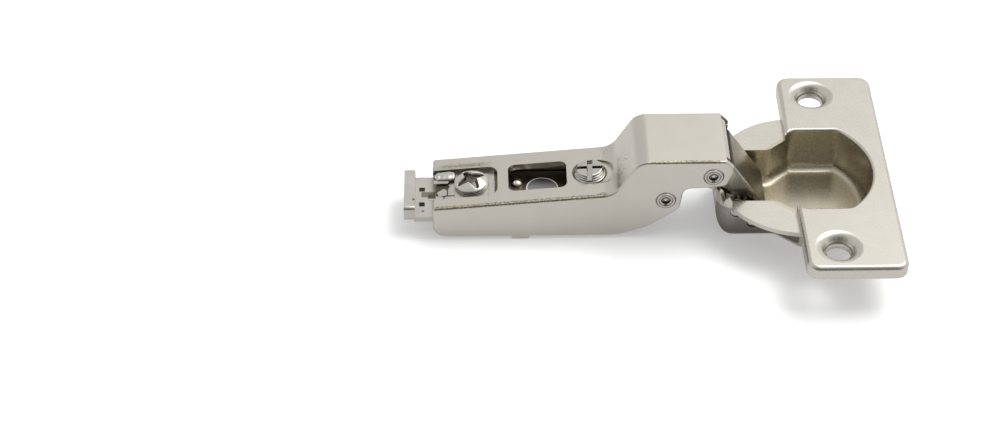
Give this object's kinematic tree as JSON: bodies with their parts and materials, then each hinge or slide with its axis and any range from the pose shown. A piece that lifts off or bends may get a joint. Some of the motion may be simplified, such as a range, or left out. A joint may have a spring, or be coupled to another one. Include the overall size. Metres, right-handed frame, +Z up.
{
  "type": "concealed cup hinge",
  "caption": "Concealed cup hinge for a cabinet door: drawn steel cup with flange, two links on pins, cranked arm with overlay and depth screws and a rear catch.",
  "frame": {"origin": "centre of the plan at the lowest point of the cup", "axes": "+X from the arm's rear catch to the cup, +Y along the hinge pins, +Z up out of the door face"},
  "size_m": [0.101, 0.061, 0.0204],
  "materials": {
    "nickel_satin": "satin nickel plating on pressed steel",
    "nickel_bright": "bright nickel plating on turned steel",
    "spring_steel": "dark oiled spring steel"
  },
  "bodies": {
    "arm": {"arm": "nickel_satin", "nose_pin": "nickel_bright", "heel_pin": "nickel_bright"},
    "outer_link": {"outer_link": "nickel_satin"},
    "cup": {"cup": "nickel_satin", "deep_cup_pin": "nickel_bright", "shallow_cup_pin": "nickel_bright", "closing_spring_far": "spring_steel", "closing_spring_near": "spring_steel"},
    "inner_link": {"inner_link": "nickel_satin"},
    "clamp": {"clamp_plate": "nickel_satin"},
    "base": {"base": "nickel_satin", "base_rivet": "nickel_bright", "locating_stud": "nickel_bright", "leaf_spring": "spring_steel", "catch_pin": "nickel_bright"},
    "catch": {"catch": "nickel_satin"},
    "overlay_screw": {"overlay_screw": "nickel_bright"},
    "fixing_screw": {"fixing_screw": "nickel_bright"}
  },
  "joints": [
    {"name": "cup_fold", "type": "hinge", "parent": "outer_link", "child": "cup", "pos_m": [0.02175, 0, 0.0047], "axis": [0, -1, 0], "range_deg": [0, 109.5]},
    {"name": "nose_turn", "type": "hinge", "parent": "arm", "child": "outer_link", "pos_m": [0.013, 0, 0.01655], "axis": [0, -1, 0], "range_deg": [-17.6, 0]},
    {"name": "inner_turn", "type": "hinge", "parent": "cup", "child": "inner_link", "pos_m": [0.01815, 0, 0.0076], "axis": [0, -1, 0], "range_deg": [-128.3, 0]},
    {"name": "depth_slide", "type": "slide", "parent": "arm", "child": "clamp", "axis": [0.996, 0, 0.0895], "range_m": [-0.0022, 0.0012]},
    {"name": "side_tilt", "type": "hinge", "parent": "clamp", "child": "base", "pos_m": [-0.03645, 0, 0.0056], "axis": [0, 1, 0], "range_deg": [-1.35, 1.35]},
    {"name": "catch_lift", "type": "hinge", "parent": "base", "child": "catch", "pos_m": [-0.03155, 0, 0.0024], "axis": [0, 1, 0], "range_deg": [0, 4], "stiffness_Nm_per_rad": 0.05, "springref_deg": -1.15},
    {"name": "overlay_turn", "type": "hinge", "parent": "arm", "child": "overlay_screw", "pos_m": [-0.01175, 0, 0.01134], "axis": [-0.0895, 0, 0.996], "range_deg": [-270, 270]},
    {"name": "fixing_turn", "type": "hinge", "parent": "base", "child": "fixing_screw", "pos_m": [-0.03645, 0, 0.00912], "axis": [-0.0895, 0, 0.996], "range_deg": [0, 360]}
  ],
  "couplings": [
    {"joint": "nose_turn", "follows": "cup_fold", "ratio": -0.16},
    {"joint": "inner_turn", "follows": "cup_fold", "ratio": -1.17},
    {"joint": "side_tilt", "follows": "overlay_turn", "ratio": 0.00486}
  ]
}
